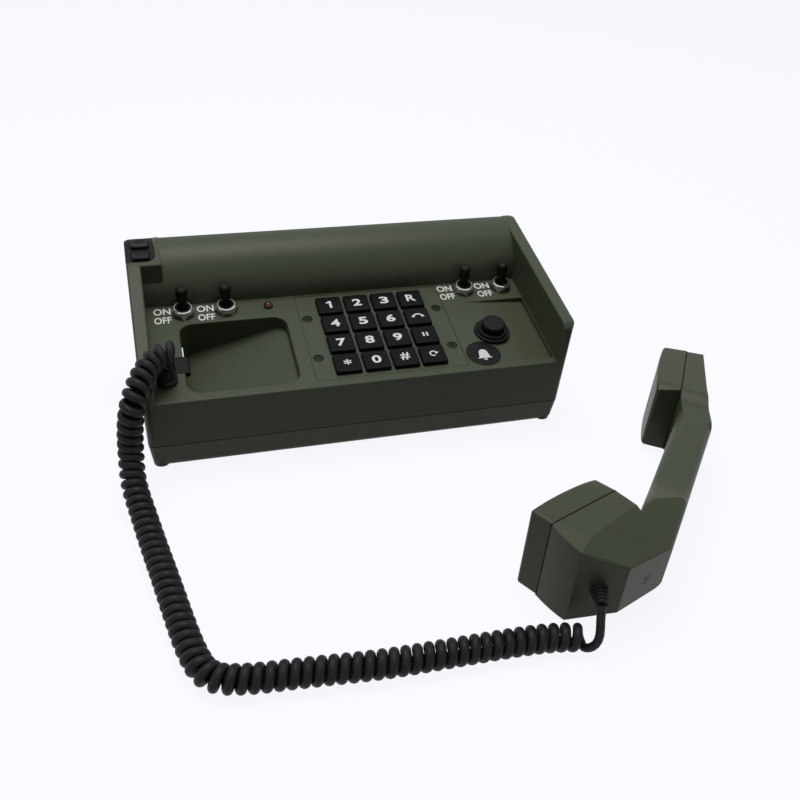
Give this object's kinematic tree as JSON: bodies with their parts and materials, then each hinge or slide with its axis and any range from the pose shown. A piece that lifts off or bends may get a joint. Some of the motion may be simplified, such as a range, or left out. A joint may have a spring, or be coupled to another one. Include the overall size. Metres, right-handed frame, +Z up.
{
  "type": "field telephone",
  "caption": "Desk-standing field telephone: sloping key panel with toggle switches and line terminals, a cradle, and a handset on a coiled cord lying in front.",
  "frame": {"origin": "on the table, under the middle of the box round the base and the handset", "axes": "+X along the base to the user's right, +Y to the back of the base, +Z up"},
  "size_m": [0.3481, 0.2811, 0.0904],
  "materials": {
    "olive_plastic": "moulded, fine matt texture",
    "handset_plastic": "moulded, satin",
    "black_plastic": "moulded, gloss",
    "switch_plastic": "moulded, satin",
    "lever_plastic": "moulded, satin",
    "black_rubber": "matt",
    "cord_pvc": "extruded, satin",
    "nickel": "nickel plated",
    "circuit_board": "solder mask",
    "cell_sleeve": "plain sleeve",
    "red_lens": "moulded, gloss"
  },
  "bodies": {
    "base": {"upper_housing": "olive_plastic", "lower_tray": "olive_plastic", "housing_screws": "nickel", "rubber_feet": "black_rubber", "keypad_plate": "olive_plastic", "keypad_screws": "nickel", "keypad_mat": "black_rubber", "keypad_board": "circuit_board", "toggle_bodies": "switch_plastic", "toggle_nuts": "nickel", "ring_bezel": "black_plastic", "ring_switch": "switch_plastic", "label_disc": "black_plastic", "lamp": "red_lens", "hook_switch": "switch_plastic", "hook_strip": "nickel", "terminal_block": "black_plastic", "terminal_pins": "nickel", "battery_cells": "cell_sleeve", "battery_contacts": "nickel", "battery_cover": "olive_plastic", "main_board": "circuit_board", "board_screws": "nickel", "ringer": "switch_plastic", "panel_gland": "black_rubber", "cord_tail_base": "cord_pvc", "cord_coil": "cord_pvc"},
    "handset": {"handset_body": "handset_plastic", "transmitter_cap": "handset_plastic", "receiver_cap": "handset_plastic", "transmitter_capsule": "switch_plastic", "receiver_capsule": "switch_plastic", "handset_screws": "nickel", "handset_gland": "black_rubber", "cord_tail_handset": "cord_pvc"},
    "ring_button": {"ring_cap": "black_plastic"},
    "hook_paddle": {"hook_lever": "black_plastic"},
    "terminal_front": {"terminal_cap_front": "black_plastic"},
    "terminal_back": {"terminal_cap_back": "black_plastic"},
    "key_star": {"key_star": "black_plastic"},
    "key_0": {"key_0": "black_plastic"},
    "key_hash": {"key_hash": "black_plastic"},
    "key_redial": {"key_redial": "black_plastic"},
    "key_7": {"key_7": "black_plastic"},
    "key_8": {"key_8": "black_plastic"},
    "key_9": {"key_9": "black_plastic"},
    "key_pause": {"key_pause": "black_plastic"},
    "key_4": {"key_4": "black_plastic"},
    "key_5": {"key_5": "black_plastic"},
    "key_6": {"key_6": "black_plastic"},
    "key_hangup": {"key_hangup": "black_plastic"},
    "key_1": {"key_1": "black_plastic"},
    "key_2": {"key_2": "black_plastic"},
    "key_3": {"key_3": "black_plastic"},
    "key_recall": {"key_recall": "black_plastic"},
    "toggle_lever_1": {"toggle_lever_1": "lever_plastic"},
    "toggle_lever_2": {"toggle_lever_2": "lever_plastic"},
    "toggle_lever_3": {"toggle_lever_3": "lever_plastic"},
    "toggle_lever_4": {"toggle_lever_4": "lever_plastic"}
  },
  "joints": [
    {"name": "handset_lift", "type": "slide", "parent": "base", "child": "handset", "axis": [0, 0, 1], "range_m": [0, 0.12]},
    {"name": "key_star_press", "type": "slide", "parent": "base", "child": "key_star", "axis": [0, 0.1573, -0.9876], "range_m": [0, 0.0015], "stiffness_N_per_m": 400, "springref_m": -0.0008},
    {"name": "key_0_press", "type": "slide", "parent": "base", "child": "key_0", "axis": [0, 0.1573, -0.9876], "range_m": [0, 0.0015], "stiffness_N_per_m": 400, "springref_m": -0.0008},
    {"name": "key_hash_press", "type": "slide", "parent": "base", "child": "key_hash", "axis": [0, 0.1573, -0.9876], "range_m": [0, 0.0015], "stiffness_N_per_m": 400, "springref_m": -0.0008},
    {"name": "key_redial_press", "type": "slide", "parent": "base", "child": "key_redial", "axis": [0, 0.1573, -0.9876], "range_m": [0, 0.0015], "stiffness_N_per_m": 400, "springref_m": -0.0008},
    {"name": "key_7_press", "type": "slide", "parent": "base", "child": "key_7", "axis": [0, 0.1573, -0.9876], "range_m": [0, 0.0015], "stiffness_N_per_m": 400, "springref_m": -0.0008},
    {"name": "key_8_press", "type": "slide", "parent": "base", "child": "key_8", "axis": [0, 0.1573, -0.9876], "range_m": [0, 0.0015], "stiffness_N_per_m": 400, "springref_m": -0.0008},
    {"name": "key_9_press", "type": "slide", "parent": "base", "child": "key_9", "axis": [0, 0.1573, -0.9876], "range_m": [0, 0.0015], "stiffness_N_per_m": 400, "springref_m": -0.0008},
    {"name": "key_pause_press", "type": "slide", "parent": "base", "child": "key_pause", "axis": [0, 0.1573, -0.9876], "range_m": [0, 0.0015], "stiffness_N_per_m": 400, "springref_m": -0.0008},
    {"name": "key_4_press", "type": "slide", "parent": "base", "child": "key_4", "axis": [0, 0.1573, -0.9876], "range_m": [0, 0.0015], "stiffness_N_per_m": 400, "springref_m": -0.0008},
    {"name": "key_5_press", "type": "slide", "parent": "base", "child": "key_5", "axis": [0, 0.1573, -0.9876], "range_m": [0, 0.0015], "stiffness_N_per_m": 400, "springref_m": -0.0008},
    {"name": "key_6_press", "type": "slide", "parent": "base", "child": "key_6", "axis": [0, 0.1573, -0.9876], "range_m": [0, 0.0015], "stiffness_N_per_m": 400, "springref_m": -0.0008},
    {"name": "key_hangup_press", "type": "slide", "parent": "base", "child": "key_hangup", "axis": [0, 0.1573, -0.9876], "range_m": [0, 0.0015], "stiffness_N_per_m": 400, "springref_m": -0.0008},
    {"name": "key_1_press", "type": "slide", "parent": "base", "child": "key_1", "axis": [0, 0.1573, -0.9876], "range_m": [0, 0.0015], "stiffness_N_per_m": 400, "springref_m": -0.0008},
    {"name": "key_2_press", "type": "slide", "parent": "base", "child": "key_2", "axis": [0, 0.1573, -0.9876], "range_m": [0, 0.0015], "stiffness_N_per_m": 400, "springref_m": -0.0008},
    {"name": "key_3_press", "type": "slide", "parent": "base", "child": "key_3", "axis": [0, 0.1573, -0.9876], "range_m": [0, 0.0015], "stiffness_N_per_m": 400, "springref_m": -0.0008},
    {"name": "key_recall_press", "type": "slide", "parent": "base", "child": "key_recall", "axis": [0, 0.1573, -0.9876], "range_m": [0, 0.0015], "stiffness_N_per_m": 400, "springref_m": -0.0008},
    {"name": "toggle_throw_1", "type": "hinge", "parent": "base", "child": "toggle_lever_1", "pos_m": [-0.13764, 0.09742, 0.05793], "axis": [1, 0, 0], "range_deg": [0, 24]},
    {"name": "toggle_throw_2", "type": "hinge", "parent": "base", "child": "toggle_lever_2", "pos_m": [-0.11263, 0.09742, 0.05793], "axis": [1, 0, 0], "range_deg": [0, 24]},
    {"name": "toggle_throw_3", "type": "hinge", "parent": "base", "child": "toggle_lever_3", "pos_m": [0.03637, 0.09742, 0.05793], "axis": [1, 0, 0], "range_deg": [0, 24]},
    {"name": "toggle_throw_4", "type": "hinge", "parent": "base", "child": "toggle_lever_4", "pos_m": [0.06137, 0.09742, 0.05793], "axis": [1, 0, 0], "range_deg": [0, 24]},
    {"name": "ring_press", "type": "slide", "parent": "base", "child": "ring_button", "axis": [0, 0.1573, -0.9876], "range_m": [0, 0.003], "stiffness_N_per_m": 400, "springref_m": -0.001},
    {"name": "hook_press", "type": "hinge", "parent": "base", "child": "hook_paddle", "pos_m": [-0.14594, 0.05396, 0.0504], "axis": [0, 0.9876, 0.1573], "range_deg": [0, 14], "stiffness_Nm_per_rad": 0.02, "springref_deg": -8.59},
    {"name": "terminal_front_press", "type": "slide", "parent": "base", "child": "terminal_front", "axis": [0, 0, -1], "range_m": [0, 0.0035], "stiffness_N_per_m": 600, "springref_m": -0.0008},
    {"name": "terminal_back_press", "type": "slide", "parent": "base", "child": "terminal_back", "axis": [0, 0, -1], "range_m": [0, 0.0035], "stiffness_N_per_m": 600, "springref_m": -0.0008}
  ]
}
